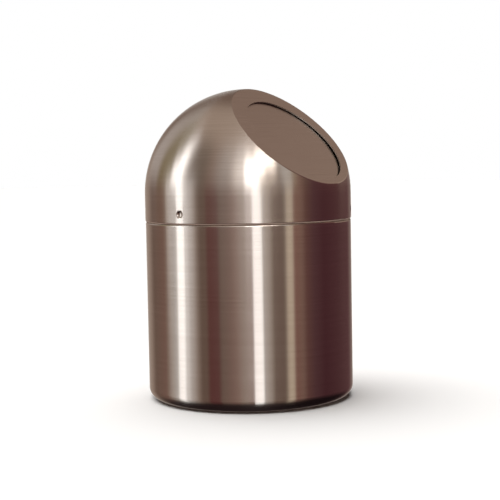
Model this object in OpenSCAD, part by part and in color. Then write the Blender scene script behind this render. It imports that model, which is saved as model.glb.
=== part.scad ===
// Tabletop waste bin: a drawn steel body, and a domed lid with a slanted round push flap.
// The origin is at the middle of the base, Z is up, and the slanted face looks towards -Y.

/* [Outside] */
// Outer diameter of the lid, its dome and the whole bin
bin_d = 120; // [114:0.2:130]
// Height of the body's curled rim above the table
body_rim_z = 103.5; // [70:0.5:160]
// Height of the straight skirt under the dome
skirt_h = 15.2; // [14:0.1:30]
// How far the body's side lies inside the lid's
body_setback = 0.2; // [0:0.1:0.6]

/* [Body] */
// Thickness of the body's sheet
body_wall = 0.7; // [0.5:0.1:1]
// Radius of the rounded edge at the base
base_edge_r = 6.5; // [3:0.5:8]
// Thickness of the inward curl at the rim
rim_curl_d = 2.2; // [1.8:0.1:3]
// Diameter of the raised panel under the base
base_panel_d = 90; // [76:1:98]
// How far the base panel is pressed up
base_panel_rise = 1.5; // [1:0.1:2.5]

/* [Base pad] */
// Gap between the edge of the raised panel and the non-slip ring
pad_gap = 2; // [1:0.5:4]
// Width of the non-slip ring
pad_w = 12; // [8:1:24]
// How far the ring stands below the steel
pad_proud = 0.5; // [0.3:0.1:1]
// Radius of the ring's rounded lower edges
pad_edge_r = 0.4; // [0.2:0.1:0.6]

/* [Neck ring] */
// Wall of the moulded ring
neck_wall = 1.7; // [1.4:0.1:2.2]
// Thickness of the flange between body and lid
neck_flange_t = 0.5; // [0.4:0.1:1]
// How far the flange is set back from the lid's outside
neck_flange_inset = 0.4; // [0.2:0.1:0.8]
// Height of the band that the lid goes over
neck_rise = 11; // [10:0.5:14]
// Depth of the band inside the body's mouth
neck_drop = 7; // [6:0.5:10]
// How far the snap lip reaches out under the curl
neck_lip = 0.6; // [0.4:0.1:0.8]
// Height of the snap lip, with its lead-in slope
neck_lip_h = 1.8; // [1.4:0.1:2]

/* [Lid] */
// Thickness of the lid's sheet
lid_wall = 0.7; // [0.5:0.1:0.9]
// Radius of the skirt's rounded lower edge
skirt_edge_r = 0.3; // [0.1:0.05:0.35]
// Number of pressed dimples that grip the neck ring
dimple_count = 3; // [2:1:6]
// Height of the dimples above the lid's lower edge
dimple_z = 5.1; // [4:0.1:7]
// Angle of the first dimple, counted from +X
dimple_angle = 178.9; // [0:0.1:359]
// Diameter of a dimple, over its soft edge
dimple_d = 5.6; // [4:0.1:7]
// Depth of a dimple
dimple_depth = 1; // [0.6:0.1:1.2]
// Diameter of the pit in its middle
dimple_pit_d = 4.2; // [3:0.1:5]
// Depth of the soft edge round the pit
dimple_edge_depth = 0.2; // [0.1:0.05:0.5]

/* [Slanted face] */
// Angle between the face and the table
face_tilt = 44; // [40:0.5:47]
// Diameter of the flat face
face_d = 79; // [78:0.5:84]
// Radius of the fold between dome and face
face_fold_r = 1; // [0.8:0.1:1.6]
// Width of the flat rim below the opening
rim_low = 4; // [3.5:0.1:6]
// Width of the flat rim above the opening, which carries the hinge
rim_high = 11; // [9.5:0.1:12]

/* [Flap] */
// How far the flap reaches under the rim of the opening
flap_overlap = 2.5; // [2.3:0.1:2.8]
// Thickness of the flap's sheet
flap_t = 0.6; // [0.5:0.1:0.8]
// Height of the flap's turned edge
flap_edge_h = 2.5; // [2:0.1:3]
// Outer radius of the bend into the turned edge
flap_bend_r = 1; // [0.9:0.1:1.4]
// Gap between the flap and the rim at the hinge
flap_gap = 0.4; // [0.3:0.05:0.8]
// Angle by which the closed flap leans inwards
flap_lean = 0.4; // [0.2:0.1:1.2]

/* [Hinge] */
// Diameter of the hinge rod
rod_d = 3; // [2.5:0.1:3.2]
// How far the rod stands out beyond the bracket on each side
rod_end = 1.4; // [1.2:0.1:1.6]
// Distance from the flap's upper edge to the rod's axis
hinge_back = 1.5; // [1.2:0.1:1.8]
// Depth of the rod's axis below the flap's top
hinge_depth = 3.9; // [3.8:0.1:4.2]
// Thickness of the bracket and of the flap lugs
hinge_sheet = 1; // [0.8:0.1:1]
// Outer width of the bracket
bracket_w = 32; // [30:0.5:33]
// Gap between the bracket and the dome, and between the bracket and the flap's edge
bracket_play = 0.8; // [0.5:0.1:1]
// Radius of the eyes round the rod
eye_r = 2.7; // [2.4:0.1:2.9]
// Distance from the rod's axis to the near end of a lug's foot
lug_near = 7; // [6.5:0.1:8]
// Length of a lug's foot
lug_foot_l = 10; // [7:0.5:14]
// Width of a lug's foot
lug_foot_w = 6; // [5:0.5:7]
// Diameter of the push-on caps
cap_d = 5.4; // [5:0.1:5.8]
// Thickness of the closed end of a cap
cap_end = 0.6; // [0.4:0.1:0.8]

/* [Closing spring] */
// Diameter of the spring wire
wire_d = 0.6; // [0.5:0.1:0.7]
// Number of turns
spring_turns = 7; // [5:1:9]
// Distance from one turn to the next
spring_pitch = 1.2; // [1.2:0.1:1.5]
// Length of the leg under the bracket
bracket_leg_l = 3; // [2:0.5:3.5]
// Length of the leg under the flap
flap_leg_l = 14; // [10:1:20]

/* [Buffers] */
// Diameter of a silicone buffer
buffer_d = 2; // [1.6:0.1:2.2]
// Distance from the opening's edge to a buffer
buffer_inset = 0.1; // [0.05:0.05:0.3]
// Angle from the lowest buffer to the ones beside it
buffer_spread = 50; // [30:1:70]
// Radius of a buffer's rounded end
buffer_round = 0.3; // [0.2:0.1:0.4]

/* [Clearances] */
// Radial play where one piece turns or slides on another
running_fit = 0.05; // [0.03:0.01:0.1]
// Radial play where a piece is pushed home and stays
push_fit = 0.02; // [0.01:0.01:0.04]
// Side play of the lugs, the sleeve and the snap lip
side_play = 0.3; // [0.2:0.05:0.5]
// Gap between the closed flap and the buffers and spring that bear on it
touch_gap = 0.1; // [0.05:0.01:0.15]

/* [Hidden] */
$fn = 96;
lid_r = bin_d / 2;
body_r = lid_r - body_setback;
base_z = pad_proud;
panel_z = base_z + base_panel_rise;
rim_curl_r = rim_curl_d / 2;
mouth_r = body_r - rim_curl_d;
flange_z = body_rim_z + running_fit;
lid_edge_z = flange_z + neck_flange_t;
equator_z = lid_edge_z + skirt_h;
lid_inner_r = lid_r - lid_wall;
neck_band_r = lid_inner_r - dimple_depth - running_fit;
dimple_steps = [
    [dimple_d, dimple_edge_depth],
    [(dimple_d + dimple_pit_d) / 2, sqrt(dimple_edge_depth * dimple_depth)],
    [dimple_pit_d, dimple_depth]
];
face_r = face_d / 2;
face_h = sqrt(lid_r * lid_r - face_r * face_r);
face_under = face_h - lid_wall;
under_r = sqrt(lid_inner_r * lid_inner_r - face_under * face_under);
opening_r = face_r - (rim_low + rim_high) / 2;
opening_drop = (rim_high - rim_low) / 2;
flap_r = opening_r + flap_overlap;
flap_at = -flap_r - hinge_back;
hinge_y = -opening_drop - flap_at;
hinge_z = face_under - flap_gap - hinge_depth;
flap_under = hinge_depth - flap_t;
plate_under = hinge_depth + flap_gap - hinge_sheet;
rod_half = bracket_w / 2 + rod_end;
rod_chamfer = rod_d / 10;
lug_out = bracket_w / 2 - hinge_sheet - side_play;
lug_in = lug_out - hinge_sheet;
sleeve_half = lug_in - side_play / 2;
coil_r = flap_under - wire_d / 2 - touch_gap;
coil_half = spring_turns * spring_pitch / 2;
rings_per_turn = 8;
wire_sides = 6;
sleeve_r = coil_r * cos(180 / rings_per_turn) - wire_d / 2 - side_play / 2;
far = 4 * lid_r;
steel = "#9b8f89";
dark_steel = "#7d756f";
bright_steel = "#b9b6b2";
black_plastic = "#26262a";
rubber = "#1d1d1f";
silicone = "#55514d";
nylon = "#e6e2d8";

// Places its children on the slanted face: Y up the slope, Z out of the face, from the dome's centre.
module on_face() {
    translate([0, 0, equator_z]) rotate([face_tilt, 0, 0]) children();
}

// Places its children on the rod's axis, which runs along X.
module on_hinge() {
    on_face() translate([0, hinge_y, hinge_z]) children();
}

// Places its children in the closed flap's own frame, which leans inwards about the rod.
module on_flap() {
    on_hinge() rotate([flap_lean, 0, 0]) children();
}

// Extrudes an outline drawn in Y and Z along X, from x0, for a thickness t.
module side_plate(x0, t) {
    translate([x0, 0, 0]) rotate([90, 0, 90]) linear_extrude(t) children();
}

// Turns a half section about the X axis, its height running along +X or, for side -1, along -X.
module turned_along_x(side) {
    rotate([0, 90 * side, 0]) rotate_extrude() children();
}

// Half section of a cup, from its axis outwards, with a rounded corner at its foot.
module cup_section(r, h, corner_r) {
    square([r - corner_r, h]);
    translate([0, corner_r]) square([r, h - corner_r]);
    translate([r - corner_r, corner_r]) circle(r = corner_r);
}

// Half section under a panel pressed up from z0 to z1, with sides that slope at 45 degrees.
module panel_section(r, z0, z1) {
    polygon([[0, z0], [r + z1 - z0, z0], [r, z1], [0, z1]]);
}

// Deep-drawn cup with a rounded base edge, a raised base panel and an inward curl at the mouth.
module body_shell() {
    panel_r = base_panel_d / 2;
    color(steel) rotate_extrude() {
        difference() {
            translate([0, base_z])
                cup_section(body_r, body_rim_z - rim_curl_r - base_z, base_edge_r);
            difference() {
                translate([0, base_z + body_wall])
                    cup_section(body_r - body_wall, body_rim_z, base_edge_r - body_wall);
                panel_section(panel_r + body_wall / 2, base_z + body_wall, panel_z + body_wall);
            }
            panel_section(panel_r, base_z, panel_z);
        }
        translate([body_r - rim_curl_r, body_rim_z - rim_curl_r]) circle(r = rim_curl_r);
    }
}

// Flat ring with rounded lower edges, glued into the panel under the base.
module base_pad() {
    inner = base_panel_d / 2 - pad_gap - pad_w;
    color(rubber) rotate_extrude() {
        translate([inner, pad_edge_r]) square([pad_w, panel_z - pad_edge_r]);
        translate([inner + pad_edge_r, 0]) square([pad_w - 2 * pad_edge_r, panel_z]);
        for (x = [pad_edge_r, pad_w - pad_edge_r])
            translate([inner + x, pad_edge_r]) circle(r = pad_edge_r);
    }
}

// Moulded ring that snaps into the body's mouth, carries the lid and is gripped by its dimples.
module neck_ring() {
    outer = mouth_r - running_fit;
    inner = outer - neck_wall;
    band_inner = neck_band_r - neck_wall;
    top = lid_edge_z + neck_rise;
    bottom = flange_z - neck_drop;
    lip_top = body_rim_z - rim_curl_d - side_play;
    lead_in = neck_wall / 3;
    color(black_plastic) rotate_extrude() polygon([
        [inner, bottom], [outer, bottom],
        [outer, lip_top - neck_lip_h], [outer + neck_lip, lip_top - neck_lip_h / 3],
        [outer + neck_lip, lip_top], [outer, lip_top],
        [outer, flange_z], [lid_r - neck_flange_inset, flange_z],
        [lid_r - neck_flange_inset, lid_edge_z], [neck_band_r, lid_edge_z],
        [neck_band_r, top - lead_in], [neck_band_r - lead_in, top],
        [band_inner, top], [band_inner, lid_edge_z],
        [inner, flange_z - neck_wall]
    ]);
}

// Half section of a hemisphere on a straight skirt, from the dome's centre.
module dome_section(r, skirt) {
    intersection() {
        circle(r = r);
        square(r);
    }
    translate([0, -skirt]) square([r, skirt]);
}

// Everything that lies beyond a plane parallel to the face.
module beyond(h) {
    rotate([face_tilt, 0, 0]) translate([-far / 2, -far / 2, h]) cube(far);
}

// Ring cut from the edge between dome and face, which leaves a rounded fold.
module fold_cut() {
    fold_z = face_h - face_fold_r;
    fold_at = lid_r - face_fold_r;
    fold_x = sqrt(fold_at * fold_at - fold_z * fold_z);
    reach = 2 * face_fold_r;
    rotate([face_tilt, 0, 0]) rotate_extrude() translate([fold_x, fold_z]) difference() {
        polygon([[0, 0], [0, reach], [reach, reach], [reach * fold_x / fold_at, reach * fold_z / fold_at]]);
        circle(r = face_fold_r);
    }
}

// Round opening through the face.
module opening() {
    rotate([face_tilt, 0, 0]) translate([0, -opening_drop, 0]) cylinder(r = opening_r, h = far);
}

// Dimples round the skirt, each a nest of spherical steps, made larger all round by a wall.
module dimples(wall) {
    for (i = [0 : dimple_count - 1])
        rotate([0, 0, dimple_angle + i * 360 / dimple_count])
            for (step = dimple_steps) {
                step_r = (step[0] * step[0] / 4 + step[1] * step[1]) / (2 * step[1]);
                translate([lid_r - step[1] + step_r, 0, dimple_z - skirt_h]) sphere(r = step_r + wall);
            }
}

// Domed lid with its skirt, its flat face and opening, and the dimples pressed in from outside.
module lid_shell() {
    color(steel) translate([0, 0, equator_z]) difference() {
        union() {
            difference() {
                rotate_extrude() {
                    dome_section(lid_r, skirt_h - skirt_edge_r);
                    translate([0, -skirt_h]) square([lid_r - skirt_edge_r, skirt_edge_r]);
                    translate([lid_r - skirt_edge_r, skirt_edge_r - skirt_h]) circle(r = skirt_edge_r);
                }
                beyond(face_h);
                fold_cut();
                difference() {
                    rotate_extrude() dome_section(lid_inner_r, skirt_h + lid_wall);
                    beyond(face_under);
                }
                opening();
            }
            intersection() {
                dimples(lid_wall);
                translate([0, 0, -skirt_h]) cylinder(r = lid_r - lid_wall / 2, h = skirt_h);
            }
        }
        dimples(0);
    }
}

// One stamping, welded under the wide upper rim, with two ears folded down to hold the rod.
module hinge_bracket() {
    half = bracket_w / 2;
    color(dark_steel) difference() {
        union() {
            on_face() translate([0, 0, face_under - hinge_sheet]) linear_extrude(hinge_sheet)
                difference() {
                    intersection() {
                        circle(r = under_r - bracket_play);
                        translate([-half, 0]) square([bracket_w, lid_r]);
                    }
                    translate([0, -opening_drop]) circle(r = flap_r + bracket_play);
                }
            on_hinge() for (x0 = [-half, half - hinge_sheet]) side_plate(x0, hinge_sheet) {
                circle(r = eye_r);
                polygon([[-eye_r, 0], [eye_r, 0], [eye_r / 2, plate_under + hinge_sheet / 2],
                    [-eye_r, plate_under + hinge_sheet / 2]]);
            }
        }
        on_hinge() rotate([0, 90, 0]) cylinder(d = rod_d + 2 * push_fit, h = far, center = true);
    }
}

// Plain rod with chamfered ends.
module hinge_rod() {
    color(bright_steel) on_hinge() rotate([0, 90, 0]) rotate_extrude() polygon([
        [0, -rod_half], [rod_d / 2 - rod_chamfer, -rod_half],
        [rod_d / 2, rod_chamfer - rod_half], [rod_d / 2, rod_half - rod_chamfer],
        [rod_d / 2 - rod_chamfer, rod_half], [0, rod_half]
    ]);
}

// Push-on cap over one end of the rod, seated against the bracket's ear.
module rod_cap(side) {
    cap_l = rod_end + push_fit + cap_end;
    round_r = cap_end / 2;
    color(dark_steel) on_hinge() translate([side * bracket_w / 2, 0, 0]) turned_along_x(side)
        difference() {
            union() {
                square([cap_d / 2, cap_l - round_r]);
                square([cap_d / 2 - round_r, cap_l]);
                translate([cap_d / 2 - round_r, cap_l - round_r]) circle(r = round_r);
            }
            square([rod_d / 2 + push_fit, rod_end + push_fit]);
        }
}

// Tube on the rod that keeps the lugs apart and the spring centred.
module spacer_sleeve() {
    color(nylon) on_hinge() rotate([0, 90, 0]) rotate_extrude()
        translate([rod_d / 2 + running_fit, -sleeve_half])
            square([sleeve_r - rod_d / 2 - running_fit, 2 * sleeve_half]);
}

// One point of the spring's wire round the rod: its X, its angle and its way along a leg.
function wire_point(x, angle, along) =
    [x, coil_r * cos(angle) - along * sin(angle), coil_r * sin(angle) + along * cos(angle)];

// The wire's stations from the leg under the bracket, through the coil, to the leg under the flap.
wire_steps = spring_turns * rings_per_turn;
wire_turn = 360 * spring_turns + flap_lean;
wire_stations = [
    [-coil_half, 90, -bracket_leg_l],
    for (i = [0 : wire_steps])
        [-coil_half + 2 * coil_half * i / wire_steps, 90 + wire_turn * i / wire_steps, 0],
    [coil_half, 90 + wire_turn, flap_leg_l]
];
wire_path = [for (s = wire_stations) wire_point(s[0], s[1], s[2])];

// Least gap between any two stretches of the wire that lie half a turn or more apart.
wire_gap = min([
    for (i = [0 : wire_steps - rings_per_turn / 2], j = [i + rings_per_turn / 2 : wire_steps + 2])
        norm(wire_path[i] - wire_path[j])
]) - wire_d;

// Torsion spring of one unbroken wire, with straight legs that bear on the bracket and the flap.
module closing_spring() {
    last = len(wire_stations) - 1;
    points = [
        for (k = [0 : last], j = [0 : wire_sides - 1])
            let (angle = wire_stations[k][1], side = 360 * j / wire_sides)
            wire_path[k] + wire_d / 2 * [sin(side), cos(side) * cos(angle), cos(side) * sin(angle)]
    ];
    walls = [
        for (k = [0 : last - 1], j = [0 : wire_sides - 1])
            let (a = k * wire_sides + j, b = k * wire_sides + (j + 1) % wire_sides)
            each [[a, b, b + wire_sides], [a, b + wire_sides, a + wire_sides]]
    ];
    ends = [
        for (j = [1 : wire_sides - 2])
            each [[0, j + 1, j], [last * wire_sides, last * wire_sides + j, last * wire_sides + j + 1]]
    ];
    echo(least_gap_in_the_spring = wire_gap);
    color(bright_steel) on_hinge() polyhedron(points, concat(walls, ends), convexity = 10);
}

// Half section of the flap as a shallow pan, its face at the top and a bend into the turned edge.
module pan_section(r, bend_r, top, depth) {
    translate([0, top - depth]) square([r, depth - bend_r]);
    translate([0, top - bend_r]) square([r - bend_r, bend_r]);
    translate([r - bend_r, top - bend_r]) circle(r = bend_r);
}

// Round flap with a turned edge, cut away where the hinge passes.
module flap_disc() {
    notch_w = bracket_w + 2 * bracket_play;
    color(steel) on_flap() translate([0, flap_at, 0]) difference() {
        rotate_extrude() difference() {
            pan_section(flap_r, flap_bend_r, hinge_depth, flap_edge_h);
            pan_section(flap_r - flap_t, flap_bend_r - flap_t, flap_under, flap_edge_h);
        }
        translate([-notch_w / 2, 0, flap_under - flap_edge_h]) cube([notch_w, flap_r + 1, flap_edge_h]);
    }
}

// Bent lug welded under the flap, with an eye that turns on the rod.
module flap_lug(side) {
    ear_x = side > 0 ? lug_in : -lug_out;
    foot_x = side > 0 ? lug_out - lug_foot_w : -lug_out;
    foot_end = -lug_near - lug_foot_l;
    web_r = 0.8 * eye_r;
    color(dark_steel) on_flap() difference() {
        union() {
            translate([foot_x, foot_end, flap_under - hinge_sheet])
                cube([lug_foot_w, lug_foot_l, hinge_sheet]);
            side_plate(ear_x, hinge_sheet) {
                circle(r = eye_r);
                polygon([
                    [foot_end, flap_under], [-lug_near, flap_under], [0, web_r],
                    [-web_r / 2, -web_r], [foot_end, flap_under - hinge_sheet]
                ]);
            }
        }
        rotate([0, 90, 0]) cylinder(d = rod_d + 2 * running_fit, h = far, center = true);
    }
}

// Silicone buffer stuck under the rim, where the closing flap comes to rest on it.
module buffer(angle) {
    at = opening_r + buffer_inset + buffer_d / 2;
    y = -opening_drop - at * cos(angle);
    flap_top = hinge_z + (y - hinge_y) * tan(flap_lean) + hinge_depth / cos(flap_lean);
    h = face_under - flap_top - touch_gap - buffer_d / 2 * tan(flap_lean);
    color(silicone) on_face() translate([at * sin(angle), y, face_under]) mirror([0, 0, 1])
        rotate_extrude() {
            square([buffer_d / 2, h - buffer_round]);
            square([buffer_d / 2 - buffer_round, h]);
            translate([buffer_d / 2 - buffer_round, h - buffer_round]) circle(r = buffer_round);
        }
}

body_shell();
base_pad();
neck_ring();
lid_shell();
hinge_bracket();
hinge_rod();
rod_cap(-1);  // rod_cap_left
rod_cap(1);  // rod_cap_right
spacer_sleeve();
closing_spring();
flap_disc();
flap_lug(-1);  // flap_lug_left
flap_lug(1);  // flap_lug_right
buffer(-buffer_spread);  // buffer_left
buffer(0);  // buffer_middle
buffer(buffer_spread);  // buffer_right
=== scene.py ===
# %% [markdown]
# # Tabletop waste bin: how it is dressed
# The bin arrives as finished solids: a drawn steel body, a domed lid with a slanted face, a sprung round
# flap and the small pieces that carry it. Their shapes are right, so this lesson keeps them and gives each
# one the skin of its real material. It also builds what the solids leave plain: the round spring wire and
# the marks that spot welding leaves. Brushed steel has almost no colour of its own. What the eye sees is
# the room, smeared across the brush lines, so half of the work lies in the room that the steel reflects.

# %% Loading the bin
import math

import bmesh
import bpy
from mathutils import Matrix, Vector


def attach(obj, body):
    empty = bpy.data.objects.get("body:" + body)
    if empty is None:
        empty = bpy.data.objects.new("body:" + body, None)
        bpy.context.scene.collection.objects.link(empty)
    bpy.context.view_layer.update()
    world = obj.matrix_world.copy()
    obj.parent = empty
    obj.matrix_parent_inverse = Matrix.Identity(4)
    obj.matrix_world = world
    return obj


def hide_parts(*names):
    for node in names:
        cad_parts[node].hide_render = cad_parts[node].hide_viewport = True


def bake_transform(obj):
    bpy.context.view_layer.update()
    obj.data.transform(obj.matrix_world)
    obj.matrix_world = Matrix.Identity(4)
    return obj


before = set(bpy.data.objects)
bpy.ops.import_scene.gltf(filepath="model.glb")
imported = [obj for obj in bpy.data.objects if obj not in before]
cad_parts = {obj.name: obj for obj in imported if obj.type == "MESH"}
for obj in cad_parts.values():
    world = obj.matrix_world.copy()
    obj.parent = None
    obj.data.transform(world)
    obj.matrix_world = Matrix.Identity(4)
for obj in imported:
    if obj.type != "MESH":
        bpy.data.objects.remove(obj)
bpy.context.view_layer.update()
MM = 0.001
print("nodes:", ", ".join(sorted(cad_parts)))

# %% [markdown]
# # The camera
# A photograph's viewpoint can be found from the ellipses in it. Here the seam and the face's edge were
# fitted, and they put the lens 750 mm from the bin's axis and 140 mm above the table, with the slanted face
# turned away to the right. The picture is square and the long lens keeps the body's sides almost parallel.

# %% Placing the camera
LENS_DISTANCE = 750 * MM
LENS_HEIGHT = 140 * MM
LENS_TURN = math.radians(-52.1)
LENS_YAW = math.radians(0.05)
LENS_PITCH = math.radians(-4.15)
LENS_ROLL = math.radians(-1.04)
FOCAL_LENGTH = 92.4
SENSOR_WIDTH = 36
NEAREST = 0.05
FARTHEST = 50


def add_object(name, data):
    piece = bpy.data.objects.new(name, data)
    bpy.context.scene.collection.objects.link(piece)
    return piece


round_bin = Matrix.Rotation(LENS_TURN, 3, "Z")
level = math.cos(LENS_PITCH)
ahead = round_bin @ Vector(
    (math.sin(LENS_YAW) * level, math.cos(LENS_YAW) * level, math.sin(LENS_PITCH))
)
right = round_bin @ Vector((math.cos(LENS_YAW), -math.sin(LENS_YAW), 0))
lens_roll = Matrix.Rotation(-LENS_ROLL, 3, ahead)
right = lens_roll @ right
above = right.cross(ahead)
stand = round_bin @ Vector((0, -LENS_DISTANCE, 0)) + Vector((0, 0, LENS_HEIGHT))

camera = add_object("camera", bpy.data.cameras.new("camera"))
camera.data.lens = FOCAL_LENGTH
camera.data.sensor_width = SENSOR_WIDTH
camera.data.clip_start = NEAREST
camera.data.clip_end = FARTHEST
camera.matrix_world = Matrix(
    [[right[i], above[i], -ahead[i], stand[i]] for i in range(3)] + [[0, 0, 0, 1]]
)
bpy.context.scene.camera = camera
bpy.context.scene.view_settings.view_transform = "Standard"
print("camera at", [round(c / MM, 1) for c in stand], "mm")

# %% [markdown]
# # Helpers for every shader
# Colours are easiest to choose as the hex codes of a paint chart, but a renderer adds up light, so each
# code is made linear first. The second helper adds one node: it sets the node's options, fills its inputs,
# and where an input is given another node's output, it draws the link. The others use it to mix colours and
# shaders, and to start and end a material.

# %% Colour and node helpers
def linear(code):
    channels = [int(code[i : i + 2], 16) / 255 for i in (1, 3, 5)]
    return (
        *[c / 12.92 if c <= 0.04045 else ((c + 0.055) / 1.055) ** 2.4 for c in channels],
        1.0,
    )


def add_node(tree, kind, inputs=None, **options):
    node = tree.nodes.new(kind)
    for name, value in options.items():
        setattr(node, name, value)
    for name, value in (inputs or {}).items():
        if isinstance(value, bpy.types.NodeSocket):
            tree.links.new(value, node.inputs[name])
        else:
            node.inputs[name].default_value = value
    return node


def mix_colours(tree, share, low, high):
    """Mixes two colours. Sockets for other types have the same names, so the identifiers tell them apart."""
    mixer = add_node(tree, "ShaderNodeMix", {"Factor": share}, data_type="RGBA")
    for name, value in (("A_Color", low), ("B_Color", high)):
        socket = next(s for s in mixer.inputs if s.identifier == name)
        if isinstance(value, bpy.types.NodeSocket):
            tree.links.new(value, socket)
        else:
            socket.default_value = value
    return next(s for s in mixer.outputs if s.identifier == "Result_Color")


def colours_of(ramp, stops):
    """Fills a colour ramp, which starts with two marks, with places and codes."""
    marks = ramp.color_ramp.elements
    for i, (place, code) in enumerate(stops):
        mark = marks[i] if i < 2 else marks.new(place)
        mark.position = place
        mark.color = linear(code)
    return ramp.outputs["Color"]


def mix_shaders(tree, share, low, high):
    return add_node(tree, "ShaderNodeMixShader", {0: share, 1: low, 2: high}).outputs[0]


def new_material(name):
    material = bpy.data.materials.new(name)
    material.use_nodes = True
    material.node_tree.nodes.clear()
    return material, material.node_tree


def show(tree, shader):
    """Ends a material: its shader becomes what the surface shows."""
    add_node(tree, "ShaderNodeOutputMaterial", {"Surface": shader})


print("steel grey, linear:", [round(c, 3) for c in linear("#c8bfb7")])

# %% [markdown]
# # The room that the steel reflects
# The bright stripes on a steel cylinder are windows and lamps, and the brown and wine-red ones are walls,
# doors and furniture. A studio could put cards and strip lights round the bin. Painting the same cards into
# the world's sky is simpler and leaves no noise: one colour ramp holds the furniture by its bearing, a
# second one the walls above it, and the table darkens what lies well below the horizon. Bearings are
# counted in degrees from the camera's place, and are positive to the right in the picture.

# %% Bearing and elevation of every direction
room = bpy.data.worlds.new("room")
bpy.context.scene.world = room
room.use_nodes = True
sky = room.node_tree
sky.nodes.clear()

CAMERA_POLAR = math.degrees(math.atan2(stand.y, stand.x))
direction = add_node(sky, "ShaderNodeTexCoord").outputs["Generated"]
towards_camera = add_node(
    sky,
    "ShaderNodeVectorRotate",
    {"Vector": direction, "Angle": math.radians(-CAMERA_POLAR)},
    rotation_type="Z_AXIS",
).outputs[0]
parts = add_node(sky, "ShaderNodeSeparateXYZ", {"Vector": towards_camera})
bearing = add_node(
    sky, "ShaderNodeMath", {0: parts.outputs["Y"], 1: parts.outputs["X"]}, operation="ARCTAN2"
).outputs[0]
elevation = add_node(sky, "ShaderNodeMath", {0: parts.outputs["Z"]}, operation="ARCSINE").outputs[0]
print("the camera's bearing in the bin's frame:", round(CAMERA_POLAR, 1))

# %% Paints of the room
PAINT = {
    "daylight": "#ffffff",
    "lamplight": "#fff3e8",
    "curtain": "#f5eee9",
    "linen": "#d2cac3",
    "plaster": "#c6bab2",
    "stone": "#b3a498",
    "shade": "#a28d80",
    "clay": "#927266",
    "oak": "#8a6b60",
    "bark": "#796256",
    "olive": "#b6a48e",
    "slate": "#86776b",
    "buff": "#b49c8c",
    "brick": "#6a3b39",
    "cream": "#dfcab2",
    "moss": "#998a6c",
    "rust": "#94675d",
    "wine": "#75504b",
    "plum": "#634244",
    "night": "#543035",
    "ceiling": "#c0ab9b",
    "table": "#2a1f20",
    "table in shadow": "#1b1315",
}
print(len(PAINT), "paints in the room")

# %% Furniture, low down, and the walls behind it
FURNITURE = [
    (-168, "stone"),
    (-146, "shade"),
    (-133, "bark"),
    (-109, "oak"),
    (-102, "shade"),
    (-90, "linen"),
    (-73, "curtain"),
    (-69, "plaster"),
    (-61, "shade"),
    (-55, "bark"),
    (-49, "bark"),
    (-46, "brick"),
    (-35, "brick"),
    (-32, "bark"),
    (-20, "oak"),
    (-14, "clay"),
    (-6, "shade"),
    (1, "clay"),
    (15, "linen"),
    (18, "plaster"),
    (23, "stone"),
    (27, "bark"),
    (39, "bark"),
    (43.5, "cream"),
    (48.5, "cream"),
    (51, "rust"),
    (60, "clay"),
    (66, "wine"),
    (76, "plum"),
    (91, "night"),
    (144, "plum"),
    (180, "stone"),
]
WALLS = [
    (-178, "bark"),
    (-164, "bark"),
    (-153, "stone"),
    (-146, "plaster"),
    (-127, "plaster"),
    (-119, "moss"),
    (-101, "moss"),
    (-95, "plaster"),
    (-76, "plaster"),
    (-70, "slate"),
    (-54, "slate"),
    (-44, "shade"),
    (-28, "plaster"),
    (-18, "plaster"),
    (-8, "curtain"),
    (14, "plaster"),
    (22, "stone"),
    (36, "stone"),
    (42, "linen"),
    (49, "linen"),
    (53, "olive"),
    (60, "clay"),
    (67, "bark"),
    (78, "plum"),
    (118, "wine"),
    (128, "buff"),
    (152, "buff"),
    (170, "bark"),
]


def paint_round(stops):
    whole_turn = {"Value": bearing, "From Min": -math.pi, "From Max": math.pi}
    turn = add_node(sky, "ShaderNodeMapRange", whole_turn).outputs[0]
    ramp = add_node(sky, "ShaderNodeValToRGB", {"Fac": turn})
    return colours_of(ramp, [((degrees + 180) / 360, PAINT[paint]) for degrees, paint in stops])


print(len(FURNITURE), "paint marks round the room,", len(WALLS), "on the walls above")

# %% [markdown]
# # Light that falls off with height
# Furniture ends a little above the horizon, the walls go on to the ceiling, and the table takes over below.
# Soft steps in elevation blend these zones. The window, the lamp and the doorway under it are added on top
# of them, most of them brighter than white: brushed steel spreads a reflection, and only a strong source
# stays white in it.

# %% Mixing the zones
TABLE_ENDS = (-42, -14)
FURNITURE_ENDS = (1, 10)
WALLS_END = (44, 56)


def step_between(value, start, end):
    """A soft step from 0 to 1 between two angles in degrees. It falls where the second is smaller."""
    limits = {"Value": value, "From Min": math.radians(start), "From Max": math.radians(end)}
    return add_node(sky, "ShaderNodeMapRange", limits, interpolation_type="SMOOTHSTEP").outputs[0]


def product(share, others):
    """Multiplies a share by each of the others."""
    for other in others:
        share = add_node(sky, "ShaderNodeMath", {0: other, 1: share}, operation="MULTIPLY").outputs[0]
    return share


aside = add_node(sky, "ShaderNodeMath", {0: bearing}, operation="ABSOLUTE").outputs[0]
PATCHES = [
    # Dark corner of the room behind the bin
    ("bark", [(aside, 142, 164), (elevation, 78, 58), (elevation, 8, 18)]),
    # Pale wall low down in that corner
    ("linen", [(aside, 160, 176), (elevation, 34, 20), (elevation, -30, -14)]),
    # Table at the right
    ("table in shadow", [(bearing, 30, 75), (elevation, -12, -27), (bearing, 172, 128)]),
]

table = linear(PAINT["table"])
ceiling = linear(PAINT["ceiling"])
zones = mix_colours(sky, step_between(elevation, *TABLE_ENDS), table, paint_round(FURNITURE))
zones = mix_colours(sky, step_between(elevation, *FURNITURE_ENDS), zones, paint_round(WALLS))
zones = mix_colours(sky, step_between(elevation, *WALLS_END), zones, ceiling)
for paint, steps in PATCHES:
    patch = product(1.0, [step_between(*step) for step in steps])
    zones = mix_colours(sky, patch, zones, linear(PAINT[paint]))
print("zones: table, furniture, walls and ceiling, with", len(PATCHES), "patches over them")

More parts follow.
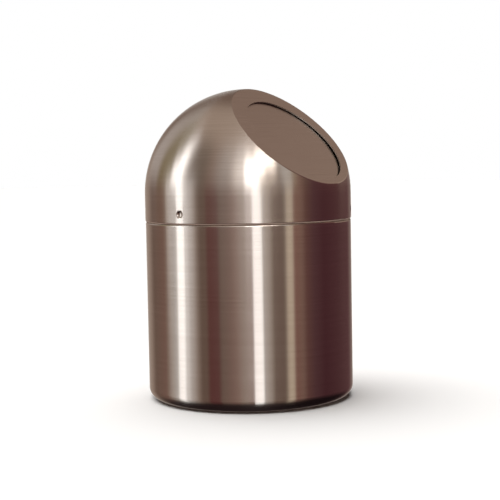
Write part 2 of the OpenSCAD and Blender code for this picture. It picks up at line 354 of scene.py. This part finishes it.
# %% A window, a lamp and a doorway
CARDS = [
    # Lamp, its shade and the glow round it
    ("lamplight", (-2, 20), (23, 33), (4, 4), 4.0),
    ("lamplight", (11, 35), (31, 40), (4, 3), 7.0),
    ("lamplight", (-24, 44), (32, 56), (14, 12), 0.17),
    ("lamplight", (-18, 2), (10, 32), (8, 8), 0.75),
    # Doorway under it, and its light on the table
    ("daylight", (-3.5, 11.5), (9, 30), (2.5, 4), 2.4),
    ("daylight", (4, 14.3), (-34, 6), (0.8, 8), 1.25),
    # Window, from its sill up to its rounded top
    ("daylight", (-96, -80), (8, 23), (3, 5), 2.4),
    ("daylight", (-90.5, -79), (23, 36), (3, 5), 2.4),
    ("daylight", (-90, -79), (34, 47), (3, 5), 1.1),
    # Its light on the wall and the furniture round it
    ("daylight", (-103, -95), (-2, 10), (2, 4), 0.55),
    ("daylight", (-78, -62), (-5, 9), (5, 4), 0.5),
    ("daylight", (-108, -58), (4, 16), (8, 5), 0.3),
    # Its light on the table
    ("daylight", (-86, -75.5), (-7, 5), (0.8, 4), 1.4),
    ("daylight", (-88.5, -78.5), (-30, -9), (0.8, 8), 1.0),
]


def bright_card(light, sides, heights, soft, strength):
    """A card between two bearings and two elevations, whose edges are soft by so many degrees each way."""
    beside, over = soft
    edges = [
        step_between(bearing, sides[0] - beside, sides[0] + beside),
        step_between(bearing, sides[1] + beside, sides[1] - beside),
        step_between(elevation, heights[0] - over, heights[0] + over),
        step_between(elevation, heights[1] + over, heights[1] - over),
    ]
    glow = {0: linear(PAINT[light])[:3], "Scale": product(strength, edges)}
    return add_node(sky, "ShaderNodeVectorMath", glow, operation="SCALE").outputs[0]


for card in CARDS:
    added = {0: zones, 1: bright_card(*card)}
    zones = add_node(sky, "ShaderNodeVectorMath", added, operation="ADD").outputs[0]
print(len(CARDS), "bright cards hung in the room")

# %% [markdown]
# # A pale floor and soft light
# The floor is a wide pale disc that shows only from above, so a view from below still shows the bin. The
# camera sees white behind it, as in a photograph cut out for a shop. Plastic, rubber and the floor are
# matt, so they need light and not reflections: a broad, soft light from above gives it to them. The steel
# doesn't mirror it, because it has the room.

# %% World output, floor and light
seen = add_node(sky, "ShaderNodeLightPath").outputs["Is Camera Ray"]
shown = mix_colours(sky, seen, zones, linear("#ffffff"))
background = add_node(sky, "ShaderNodeBackground", {"Color": shown, "Strength": 1.0})
add_node(sky, "ShaderNodeOutputWorld", {"Surface": background.outputs[0]})
room.cycles_visibility.diffuse = False

FLOOR_REACH = 6.0
FLOOR_SIDES = 96
floor_shape = bmesh.new()
bmesh.ops.create_circle(floor_shape, cap_ends=True, segments=FLOOR_SIDES, radius=FLOOR_REACH)
floor_mesh = bpy.data.meshes.new("floor")
floor_shape.to_mesh(floor_mesh)
floor_shape.free()
floor = add_object("floor", floor_mesh)
floor.visible_glossy = False

floor_paint, tree = new_material("floor_pale_matt_paint")
matt = add_node(tree, "ShaderNodeBsdfDiffuse", {"Color": linear("#f4f2f0"), "Roughness": 0.6}).outputs[0]
clear = add_node(tree, "ShaderNodeBsdfTransparent").outputs[0]
from_below = add_node(tree, "ShaderNodeNewGeometry").outputs["Backfacing"]
show(tree, mix_shaders(tree, from_below, matt, clear))
floor_mesh.materials.append(floor_paint)

LIGHT_POWER = 5.2
LIGHT_WIDTH = math.radians(80)
LIGHT_LEAN = (math.radians(-20), math.radians(4), 0)
soft_light = add_object("soft_light", bpy.data.lights.new("soft_light", "SUN"))
soft_light.data.energy = LIGHT_POWER
soft_light.data.angle = LIGHT_WIDTH
soft_light.rotation_euler = LIGHT_LEAN
soft_light.visible_glossy = False
print("floor", FLOOR_REACH, "m in radius, soft light of", LIGHT_POWER, "W/m2")

# %% [markdown]
# # Brushed stainless steel
# The body and lid are AISI 304 sheet, drawn to shape and then turned against a fine abrasive belt. The belt
# leaves fine grooves that run round the axis. Along a groove the steel stays sharp, across it a reflection
# is smeared, and this difference is what makes it look brushed. A metal has no diffuse colour: its base
# colour is the light that it sends back. Real grooves are about 0.05 mm apart, which is too fine for the
# picture, so they are drawn 0.3 mm apart.

# %% Helpers for every material
def vector_math(tree, what, a, b=None):
    given = {0: a} if b is None else {0: a, 1: b}
    node = add_node(tree, "ShaderNodeVectorMath", given, operation=what)
    return node.outputs["Value"] if what in ("LENGTH", "DOT_PRODUCT") else node.outputs["Vector"]


def maths(tree, what, *values):
    return add_node(tree, "ShaderNodeMath", dict(enumerate(values)), operation=what).outputs[0]


def spread(tree, value, low, high, to_low=0.0, to_high=1.0):
    """Maps a value from one range to another, held at both ends."""
    inputs = {"Value": value, "From Min": low, "From Max": high, "To Min": to_low, "To Max": to_high}
    return add_node(tree, "ShaderNodeMapRange", inputs).outputs[0]


def noise(tree, where, size, detail=2.0, rough=0.5, w=None):
    """Noise whose blotches are about `size` metres across, in three dimensions or, with a W, in four."""
    inputs = {"Vector": where, "Scale": 1 / size, "Detail": detail, "Roughness": rough}
    if w is not None:
        inputs["W"] = w
    dimensions = "3D" if w is None else "4D"
    return add_node(tree, "ShaderNodeTexNoise", inputs, noise_dimensions=dimensions).outputs["Fac"]


def vary(tree, value, low, high):
    """Maps noise, which mostly lies between 0.3 and 0.7, to a range."""
    return spread(tree, value, 0.3, 0.7, low, high)


def bump(tree, height, strength, depth):
    relief = {"Strength": strength, "Distance": depth, "Height": height}
    return add_node(tree, "ShaderNodeBump", relief).outputs[0]


def nearest_of(tree, place, points):
    """Distance from a place to the nearest of some points."""
    nearest = None
    for point in points:
        away = vector_math(tree, "LENGTH", vector_math(tree, "SUBTRACT", place, tuple(point)))
        nearest = away if nearest is None else maths(tree, "MINIMUM", nearest, away)
    return nearest


def dress(node, material):
    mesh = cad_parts[node].data
    for i in range(len(mesh.materials)):
        mesh.materials[i] = material
    if not mesh.materials:
        mesh.materials.append(material)


print("helpers ready for", len(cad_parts), "nodes")

# %% Where grooves run
GROOVE_SPACING = 0.3 * MM
GROOVE_LENGTH = 45 * MM
LID_RADIUS = 60 * MM
DOME_CENTRE = (0, 0, 119.25 * MM)
FACE_HEIGHT = 45.16359 * MM
FACE_TILT = math.radians(44)
FACE_NORMAL = (0, -math.sin(FACE_TILT), math.cos(FACE_TILT))
UP_THE_SLOPE = (0, math.cos(FACE_TILT), math.sin(FACE_TILT))


def round_the_axis(tree, place):
    """For grooves that run round Z: the noise's vector and W at a place, and the grooves' direction."""
    flat = vector_math(tree, "MULTIPLY", place, (1, 1, 0))
    outwards = vector_math(tree, "NORMALIZE", flat)
    distance = vector_math(tree, "LENGTH", flat)
    turn = LID_RADIUS / GROOVE_LENGTH
    ring = vector_math(tree, "MULTIPLY", outwards, (turn, turn, 0))
    height = vector_math(tree, "MULTIPLY", place, (0, 0, 1 / GROOVE_SPACING))
    along = vector_math(tree, "CROSS_PRODUCT", (0, 0, 1), outwards)
    return (
        vector_math(tree, "ADD", ring, height),
        maths(tree, "DIVIDE", distance, GROOVE_SPACING),
        along,
    )


def straight_across(tree, place):
    """The same for grooves that run straight along X on the slanted face."""
    steps = [
        (vector_math(tree, "DOT_PRODUCT", place, (1, 0, 0)), GROOVE_LENGTH),
        (vector_math(tree, "DOT_PRODUCT", place, UP_THE_SLOPE), GROOVE_SPACING),
        (vector_math(tree, "DOT_PRODUCT", place, FACE_NORMAL), GROOVE_SPACING),
    ]
    axes = dict(zip("XYZ", [maths(tree, "DIVIDE", way, size) for way, size in steps]))
    return add_node(tree, "ShaderNodeCombineXYZ", axes).outputs[0], 0.0, (1, 0, 0)


print("grooves", round(GROOVE_SPACING / MM, 2), "mm apart and", round(GROOVE_LENGTH / MM), "mm long")

# %% The brushed finish itself
STEEL_LIGHT = linear("#cdc8c4")
STEEL_DEEP = linear("#c3bdb8")
SMEARED_ONE_WAY = 1.0
ACROSS_THE_GROOVES = 0.25
GROOVE_DEPTH = 0.0012 * MM
BAND_WIDTH_IN_GROOVES = 7.0
BANDS_IN_TINT = 0.15
BANDS_IN_ROUGHNESS = 0.003
HANDLING_MARKS = 34 * MM
LEAST_HANDLED = -0.006
MOST_HANDLED = 0.012


def brushed_finish(tree, place, rough, where, w, along):
    grooves = noise(tree, where, 1.0, detail=3.0, rough=0.62, w=w)
    bands = noise(tree, where, BAND_WIDTH_IN_GROOVES, w=w)
    clouds = noise(tree, place, HANDLING_MARKS, rough=0.55)
    banded = maths(tree, "MULTIPLY", bands, BANDS_IN_TINT)
    tint = maths(tree, "MULTIPLY_ADD", grooves, 1 - BANDS_IN_TINT, banded)
    uneven = vary(tree, bands, rough - BANDS_IN_ROUGHNESS, rough + BANDS_IN_ROUGHNESS)
    handled = spread(tree, clouds, 0.35, 0.7, LEAST_HANDLED, MOST_HANDLED)
    turned = add_node(
        tree,
        "ShaderNodeVectorTransform",
        {"Vector": along},
        vector_type="VECTOR",
        convert_from="OBJECT",
        convert_to="WORLD",
    ).outputs[0]
    steel = {
        "Base Color": mix_colours(tree, spread(tree, tint, 0.35, 0.65), STEEL_DEEP, STEEL_LIGHT),
        "Metallic": 1.0,
        "Roughness": maths(tree, "ADD", uneven, handled),
        "Anisotropic": SMEARED_ONE_WAY,
        "Anisotropic Rotation": ACROSS_THE_GROOVES,
        "Tangent": turned,
        "Normal": bump(tree, grooves, strength=1.0, depth=GROOVE_DEPTH),
    }
    return add_node(tree, "ShaderNodeBsdfPrincipled", steel).outputs[0]


print("grooves", round(GROOVE_DEPTH / MM, 4), "mm deep")

# %% [markdown]
# # Mill finish, for the sides that nobody brushes
# Inside, the sheet keeps the finish it left the rolling mill with: a grey, even haze with a faint grain.
# The cut edge of the opening shows the same duller steel, and the pits of the dimples, where no belt
# reaches, a smoother kind of it. One shader covers them all, and a mask made from the surface's own
# direction tells outside from inside, so both live in one material on one solid.

# %% Mill finish, and telling outside from inside
MILL_STEEL = "#bdb8b3"
MILL_LIGHT = linear(MILL_STEEL)
MILL_DEEP = linear("#a8a29d")
MILL_GRAIN = 0.5 * MM
MILL_GRAIN_DEPTH = 0.004 * MM
MILL_CLOUDS = 9 * MM
MILL_UNEVENNESS = 0.03
EDGE_ON = 0.04


def mill_finish(tree, place, rough=0.42, light=MILL_LIGHT, deep=MILL_DEEP):
    grain = noise(tree, place, MILL_GRAIN, detail=3.0, rough=0.6)
    clouds = noise(tree, place, MILL_CLOUDS, detail=3.0, rough=0.55)
    steel = {
        "Base Color": mix_colours(tree, vary(tree, clouds, 0, 1), deep, light),
        "Metallic": 1.0,
        "Roughness": vary(tree, clouds, rough + MILL_UNEVENNESS, rough - MILL_UNEVENNESS),
        "Normal": bump(tree, grain, strength=0.6, depth=MILL_GRAIN_DEPTH),
    }
    return add_node(tree, "ShaderNodeBsdfPrincipled", steel).outputs[0]


def outside_and_inside(name, outside, from_point=None, towards=None):
    """A material with a brushed outside. Outside faces away from a point, or towards a direction."""
    material, tree = new_material(name)
    spot = add_node(tree, "ShaderNodeTexCoord")
    place = spot.outputs["Object"]
    if towards is None:
        towards = vector_math(tree, "NORMALIZE", vector_math(tree, "SUBTRACT", place, from_point))
    facing = vector_math(tree, "DOT_PRODUCT", spot.outputs["Normal"], towards)
    share = spread(tree, facing, -EDGE_ON, EDGE_ON)
    show(tree, mix_shaders(tree, share, mill_finish(tree, place), outside(tree, place)))
    return material


print("mill grain", round(MILL_GRAIN / MM, 2), "mm")

# %% Body, lid and flap
BODY_ROUGHNESS = 0.17
LID_ROUGHNESS = 0.2
FACE_ROUGHNESS = 0.26
PIT_ROUGHNESS = 0.22
BODY_CENTRE = (0, 0, 50 * MM)
# Depths under the slanted face at which its own finish begins and is complete
FACE_BEGINS = 0.06 * MM
FACE_COMPLETE = 0.02 * MM
DIMPLE_HEIGHT = 109.15 * MM
DIMPLE_REACH = 2.3 * MM
DIMPLE_EDGE = 0.3 * MM
FIRST_DIMPLE = 178.9
DIMPLE_TURNS = [math.radians(FIRST_DIMPLE + turn) for turn in (0, 120, 240)]
DIMPLES = [
    (LID_RADIUS * math.cos(turn), LID_RADIUS * math.sin(turn), DIMPLE_HEIGHT) for turn in DIMPLE_TURNS
]


def body_outside(tree, place):
    return brushed_finish(tree, place, BODY_ROUGHNESS, *round_the_axis(tree, place))


def lid_outside(tree, place):
    """Round grooves on skirt and dome, straight ones on the slanted face, and none in the dimples' pits."""
    from_centre = vector_math(tree, "SUBTRACT", place, DOME_CENTRE)
    out_of_face = vector_math(tree, "DOT_PRODUCT", from_centre, FACE_NORMAL)
    on_face = spread(tree, out_of_face, FACE_HEIGHT - FACE_BEGINS, FACE_HEIGHT - FACE_COMPLETE)
    dome = brushed_finish(tree, place, LID_ROUGHNESS, *round_the_axis(tree, place))
    face = brushed_finish(tree, place, FACE_ROUGHNESS, *straight_across(tree, place))
    brushed = mix_shaders(tree, on_face, dome, face)
    nearest = nearest_of(tree, place, DIMPLES)
    in_dimple = spread(tree, nearest, DIMPLE_REACH, DIMPLE_REACH - DIMPLE_EDGE)
    pit = mill_finish(tree, place, rough=PIT_ROUGHNESS, light=STEEL_LIGHT, deep=STEEL_DEEP)
    return mix_shaders(tree, in_dimple, brushed, pit)


def flap_outside(tree, place):
    return brushed_finish(tree, place, FACE_ROUGHNESS, *straight_across(tree, place))


for node, name, outside, way in (
    ("body_shell", "stainless_steel_brushed_round", body_outside, {"from_point": BODY_CENTRE}),
    ("lid_shell", "stainless_steel_brushed_lid", lid_outside, {"from_point": DOME_CENTRE}),
    ("flap_disc", "stainless_steel_brushed_straight", flap_outside, {"towards": FACE_NORMAL}),
):
    dress(node, outside_and_inside(name, outside, **way))
print("body, lid and flap dressed")

# %% [markdown]
# # Stamped hinge parts with weld marks
# The bracket, the lugs and the caps are stamped from mill-finish sheet. Bracket and lugs are spot-welded,
# and a weld heats the steel round it until a skin of oxide grows: straw yellow furthest out, then brown,
# then blue. A ramp over the distance to the nearest weld paints those rings. The welds themselves are
# shallow rings pressed by the electrode, made as small turned pieces, because paint alone would look flat
# when the flap swings open.

# %% Places of the welds
HINGE_UP = 32.5 * MM
HINGE_UNDER = 5 * MM
HINGE = (
    Vector(DOME_CENTRE)
    + Vector(UP_THE_SLOPE) * HINGE_UP
    + Vector(FACE_NORMAL) * (FACE_HEIGHT - HINGE_UNDER)
)
FLAP_LEAN = math.radians(0.4)


def by_the_hinge(x, up, out, lean=0.0):
    """A point in mm from the rod: along it, up the slope and out of the face, leaning as the flap may."""
    lean_up = up * math.cos(lean) - out * math.sin(lean)
    lean_out = up * math.sin(lean) + out * math.cos(lean)
    return (
        HINGE
        + Vector((x, 0, 0)) * MM
        + Vector(UP_THE_SLOPE) * lean_up * MM
        + Vector(FACE_NORMAL) * lean_out * MM
    )


PLATE_UNDERSIDE = 3.3
FOOT_UNDERSIDE = 2.3
PLATE_WELD_SIDE = 9.5
PLATE_WELD_UP = 1.9
FOOT_WELD_SIDE = 11.9
FOOT_WELDS_UP = (-9.6, -14.2)
BRACKET_WELDS = [
    by_the_hinge(side * PLATE_WELD_SIDE, PLATE_WELD_UP, PLATE_UNDERSIDE) for side in (-1, 1)
]
LUG_WELDS = [
    by_the_hinge(side * FOOT_WELD_SIDE, up, FOOT_UNDERSIDE, FLAP_LEAN)
    for side in (-1, 1)
    for up in FOOT_WELDS_UP
]
print("rod's axis at", [round(c / MM, 2) for c in HINGE], "mm,", len(BRACKET_WELDS + LUG_WELDS), "welds")

# %% Steel with heat tint
HEAT_TINT = [
    (0.0, "#8f8a86"),
    (0.3, "#6d7280"),
    (0.5, "#7d6658"),
    (0.7, "#b39a72"),
    (1.0, MILL_STEEL),
]
TINT_START = 0.9 * MM
TINT_REACH = 3.6 * MM
TINT_WANDER = 1.2 * MM
TINT_BLOTCHES = 2 * MM
STAMPED_ROUGHNESS = 0.36


def heat_tint(tree, place, welds):
    wander = noise(tree, place, TINT_BLOTCHES)
    reach = maths(tree, "MULTIPLY_ADD", wander, TINT_WANDER, nearest_of(tree, place, welds))
    cooler = spread(tree, reach, TINT_START, TINT_START + TINT_REACH)
    return colours_of(add_node(tree, "ShaderNodeValToRGB", {"Fac": cooler}), HEAT_TINT)


def stamped_steel(name, welds):
    material, tree = new_material(name)
    place = add_node(tree, "ShaderNodeTexCoord").outputs["Object"]
    light = heat_tint(tree, place, welds) if welds else MILL_LIGHT
    show(tree, mill_finish(tree, place, rough=STAMPED_ROUGHNESS, light=light))
    return material


bracket_steel = stamped_steel("stainless_steel_mill_finish_bracket", BRACKET_WELDS)
lug_steel = stamped_steel("stainless_steel_mill_finish_lugs", LUG_WELDS)
dress("hinge_bracket", bracket_steel)
for lug in ("flap_lug_left", "flap_lug_right"):
    dress(lug, lug_steel)
for cap in ("rod_cap_left", "rod_cap_right"):
    dress(cap, stamped_steel("stainless_steel_mill_finish_" + cap, []))
print("bracket, lugs and caps dressed")

# %% Electrode marks
WELD_RADIUS = 1.5 * MM
WELD_LIP = 0.09 * MM
WELD_SIDES = 24
SAME_PLACE = 0.001 * MM
# Radius and height of the half section's corners, as shares of the two sizes above
WELD_SECTION = [
    (0.0, 0.3),
    (0.62, 0.3),
    (0.8, 0.75),
    (0.9, 1.0),
    (1.0, 0.7),
    (1.06, 0.0),
    (1.06, -0.6),
    (0.0, -0.6),
]


def turned_ring():
    ring = bmesh.new()
    corners = [ring.verts.new((r * WELD_RADIUS, 0, -h * WELD_LIP)) for r, h in WELD_SECTION]
    edges = [ring.edges.new(pair) for pair in zip(corners, corners[1:])]
    bmesh.ops.spin(
        ring,
        geom=corners + edges,
        cent=(0, 0, 0),
        axis=(0, 0, 1),
        angle=math.tau,
        steps=WELD_SIDES,
        use_merge=True,
    )
    bmesh.ops.remove_doubles(ring, verts=ring.verts, dist=SAME_PLACE)
    bmesh.ops.recalc_face_normals(ring, faces=ring.faces)
    return ring


def weld_marks(name, welds, lean, body, material):
    """Shallow rings on a sheet's underside, each turned from a half section and then laid on the sheet."""
    shape = bmesh.new()
    lie = Matrix.Rotation(FACE_TILT + lean, 4, "X")
    for weld in welds:
        ring = turned_ring()
        bmesh.ops.transform(ring, matrix=Matrix.Translation(weld) @ lie, verts=ring.verts)
        part = bpy.data.meshes.new("ring")
        ring.to_mesh(part)
        ring.free()
        shape.from_mesh(part)
        bpy.data.meshes.remove(part)
    mesh = bpy.data.meshes.new(name)
    shape.to_mesh(mesh)
    shape.free()
    mesh.shade_smooth()
    mesh.materials.append(material)
    piece = add_object(name, mesh)
    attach(piece, body)
    print(name, len(mesh.polygons), "faces")


weld_marks("weld_marks_bracket", BRACKET_WELDS, 0.0, "lid", bracket_steel)
weld_marks("weld_marks_lugs", LUG_WELDS, FLAP_LEAN, "flap", lug_steel)

# %% [markdown]
# # The closing spring
# A torsion spring is one wire: a short leg that bears under the bracket, seven close turns round the
# sleeve, and a long leg that presses under the flap. The solid has it as a six-sided tube, and here it gets
# its real round wire. A curve with a bevel would do, but the spin operator is the spring-maker's own move:
# a circle is turned round the rod and fed along it a little at every step. Each end is then drawn out
# straight into its leg, and its tip is rounded.

# %% Winding the wire
WIRE_RADIUS = 0.3 * MM
COIL_RADIUS = 2.9 * MM
COIL_HALF_WIDTH = 4.2 * MM
TURNS = 7
STEPS_PER_TURN = 28
WIRE_SIDES = 12
BRACKET_LEG = 3 * MM
FLAP_LEG = 14 * MM
TIP_ROUNDING = 0.18 * MM
TIP_STEPS = 3

wire = bmesh.new()
start = by_the_hinge(-COIL_HALF_WIDTH / MM, 0, COIL_RADIUS / MM)
end = by_the_hinge(COIL_HALF_WIDTH / MM, 0, COIL_RADIUS / MM, FLAP_LEAN)
stand_up = Matrix.Rotation(FACE_TILT, 4, "X") @ Matrix.Rotation(math.pi / 2, 4, "X")
upright = Matrix.Translation(start) @ stand_up
bmesh.ops.create_circle(wire, segments=WIRE_SIDES, radius=WIRE_RADIUS, matrix=upright)
first_ring = wire.edges[:]
steps = TURNS * STEPS_PER_TURN
turned = bmesh.ops.spin(
    wire,
    geom=wire.verts[:] + wire.edges[:],
    cent=HINGE,
    axis=(1, 0, 0),
    dvec=(2 * COIL_HALF_WIDTH / steps, 0, 0),
    angle=math.tau * TURNS + FLAP_LEAN,
    steps=steps,
)
last_ring = [e for e in turned["geom_last"] if isinstance(e, bmesh.types.BMEdge)]


def draw_out(ring, way, length):
    """Pulls one end of the wire out straight, closes it and rounds its tip."""
    pulled = bmesh.ops.extrude_edge_only(wire, edges=ring)["geom"]
    corners = [v for v in pulled if isinstance(v, bmesh.types.BMVert)]
    rim = [e for e in pulled if isinstance(e, bmesh.types.BMEdge)]
    bmesh.ops.translate(wire, verts=corners, vec=Vector(way) * length)
    bmesh.ops.contextual_create(wire, geom=rim)
    bmesh.ops.bevel(
        wire,
        geom=rim,
        offset=TIP_ROUNDING,
        segments=TIP_STEPS,
        profile=0.5,
        affect="EDGES",
        material=-1,
    )


flap_way = Matrix.Rotation(FLAP_LEAN, 3, "X") @ -Vector(UP_THE_SLOPE)
draw_out(first_ring, UP_THE_SLOPE, BRACKET_LEG)
draw_out(last_ring, flap_way, FLAP_LEG)
bmesh.ops.recalc_face_normals(wire, faces=wire.faces)
wire_mesh = bpy.data.meshes.new("closing_spring_wire")
wire.to_mesh(wire_mesh)
wire.free()
wire_mesh.shade_smooth()
spring = add_object("closing_spring_wire", wire_mesh)
ends = [[round(c / MM, 1) for c in place] for place in (start, end)]
print("spring wire from", ends[0], "to", ends[1], "mm,", len(wire_mesh.polygons), "faces")

# %% [markdown]
# # Spring wire and rod
# Both are drawn through a die, which leaves them bright, with hair lines along their length. On the rod the
# lines run along it. The spring's wire is wound nearly square to the rod, so lines that are fine along the
# rod and drawn out across it follow the wire well enough.

# %% Drawn steel
HAIR_LINES = 0.12 * MM
HAIR_DEPTH = 0.002 * MM
DRAWN_BLOTCHES = 1.6 * MM
LINE_DARKENING = 0.8
RUBBED_SMOOTHER = 0.04
LEFT_ROUGHER = 0.05


def drawn_steel(name, code, rough, stretch):
    """Bright steel with hair lines. Along an axis with a small value in `stretch` they are drawn out."""
    material, tree = new_material(name)
    place = add_node(tree, "ShaderNodeTexCoord").outputs["Object"]
    stretched = vector_math(tree, "MULTIPLY", place, stretch)
    lines = noise(tree, stretched, HAIR_LINES, detail=3.0, rough=0.6)
    blotches = noise(tree, place, DRAWN_BLOTCHES)
    bright = linear(code)
    dark = (*[c * LINE_DARKENING for c in bright[:3]], 1.0)
    steel = {
        "Base Color": mix_colours(tree, vary(tree, lines, 0, 1), dark, bright),
        "Metallic": 1.0,
        "Roughness": vary(tree, blotches, rough - RUBBED_SMOOTHER, rough + LEFT_ROUGHER),
        "Normal": bump(tree, lines, strength=0.5, depth=HAIR_DEPTH),
    }
    show(tree, add_node(tree, "ShaderNodeBsdfPrincipled", steel).outputs[0])
    return material


dress("hinge_rod", drawn_steel("bright_drawn_steel_rod", "#d8d6d3", 0.2, (0.05, 1, 1)))
wire_mesh.materials.append(drawn_steel("bright_spring_wire", "#cfcbc6", 0.24, (1, 0.35, 0.35)))
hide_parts("closing_spring")
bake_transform(spring)
print("rod and spring dressed")

# %% [markdown]
# # Plastics and rubbers
# Four small polymers show only at the seam, under the base or when the lid is off. The neck ring is
# injection-moulded black polypropylene with a fine spark-eroded grain, rubbed smooth where the lid slides
# over it. The outer edge of its flange, in the seam, gets a painted highlight: a pale brown that lightens
# the seam's shade. The pad is cut from rubber sheet.
# The sleeve is a length of extruded natural nylon, milky and slightly glossy. The buffers are moulded
# silicone. One dielectric shader with two colours, a grain of the real size and a roughness that varies
# does for all.

# %% A polymer and its uses
POLYMER_UNEVENNESS = 0.06
RUBBED_FROM = 104.5 * MM
RUBBED_WITHIN = 1.5 * MM
RUB_MARKS = 3 * MM
RUB_MARKS_STRETCH = (0.3, 0.3, 2.0)
MOST_RUBBED = 0.16
# Painted highlight: outside this radius the flange's edge turns pale brown, lightening the seam's shade
SEAM_HIGHLIGHT_FROM = 59 * MM
SEAM_HIGHLIGHT_EDGE = 0.2 * MM


def polymer(
    name, light, deep, rough, grain_size, grain_depth, blotch_size, rubbed=False, painted_seam_highlight=None, ior=1.49
):
    """Moulded or cut polymer. It may be rubbed smooth at the top, and get a painted highlight on its outer
    edge.
    """
    material, tree = new_material(name)
    place = add_node(tree, "ShaderNodeTexCoord").outputs["Object"]
    grain = noise(tree, place, grain_size, detail=2.0, rough=0.6)
    blotches = noise(tree, place, blotch_size, detail=3.0, rough=0.55)
    roughness = vary(tree, blotches, rough - POLYMER_UNEVENNESS, rough + POLYMER_UNEVENNESS)
    if rubbed:
        height = vector_math(tree, "DOT_PRODUCT", place, (0, 0, 1))
        over = spread(tree, height, RUBBED_FROM, RUBBED_FROM + RUBBED_WITHIN)
        streaks = noise(tree, vector_math(tree, "MULTIPLY", place, RUB_MARKS_STRETCH), RUB_MARKS)
        smoother = maths(tree, "MULTIPLY", over, spread(tree, streaks, 0.4, 0.6, 0.0, MOST_RUBBED))
        roughness = maths(tree, "SUBTRACT", roughness, smoother)
    colour = mix_colours(tree, spread(tree, blotches, 0.35, 0.75), linear(deep), linear(light))
    # Painted highlight on the flange's outer edge, lightening the shaded seam
    if painted_seam_highlight:
        radius = vector_math(tree, "LENGTH", vector_math(tree, "MULTIPLY", place, (1, 1, 0)))
        seam_highlight_share = spread(tree, radius, SEAM_HIGHLIGHT_FROM - SEAM_HIGHLIGHT_EDGE, SEAM_HIGHLIGHT_FROM + SEAM_HIGHLIGHT_EDGE)
        colour = mix_colours(tree, seam_highlight_share, colour, linear(painted_seam_highlight))
    plastic = {
        "Base Color": colour,
        "Roughness": roughness,
        "IOR": ior,
        "Normal": bump(tree, grain, strength=1.0, depth=grain_depth),
    }
    show(tree, add_node(tree, "ShaderNodeBsdfPrincipled", plastic).outputs[0])
    return material


dress(
    "neck_ring",
    polymer(
        "polypropylene_moulded_black",
        "#2e2c2a",
        "#232121",
        rough=0.5,
        grain_size=0.25 * MM,
        grain_depth=0.02 * MM,
        blotch_size=12 * MM,
        rubbed=True,
        # Pale brown painted highlight on the flange's edge, lightening the shaded seam
        painted_seam_highlight="#a3897a",
    ),
)
dress(
    "base_pad",
    polymer(
        "rubber_sheet_cut_black",
        "#2f2d2b",
        "#1b1a19",
        rough=0.78,
        grain_size=0.4 * MM,
        grain_depth=0.05 * MM,
        blotch_size=6 * MM,
        ior=1.52,
    ),
)
dress(
    "spacer_sleeve",
    polymer(
        "nylon_tube_natural",
        "#e9e5da",
        "#ddd7c8",
        rough=0.38,
        grain_size=0.3 * MM,
        grain_depth=0.008 * MM,
        blotch_size=4 * MM,
        ior=1.53,
    ),
)
silicone = polymer(
    "silicone_moulded_grey",
    "#625e5b",
    "#54504d",
    rough=0.6,
    grain_size=0.15 * MM,
    grain_depth=0.01 * MM,
    blotch_size=1.5 * MM,
    ior=1.41,
)
for buffer in ("buffer_left", "buffer_middle", "buffer_right"):
    dress(buffer, silicone)
print("ring, pad, sleeve and buffers dressed")
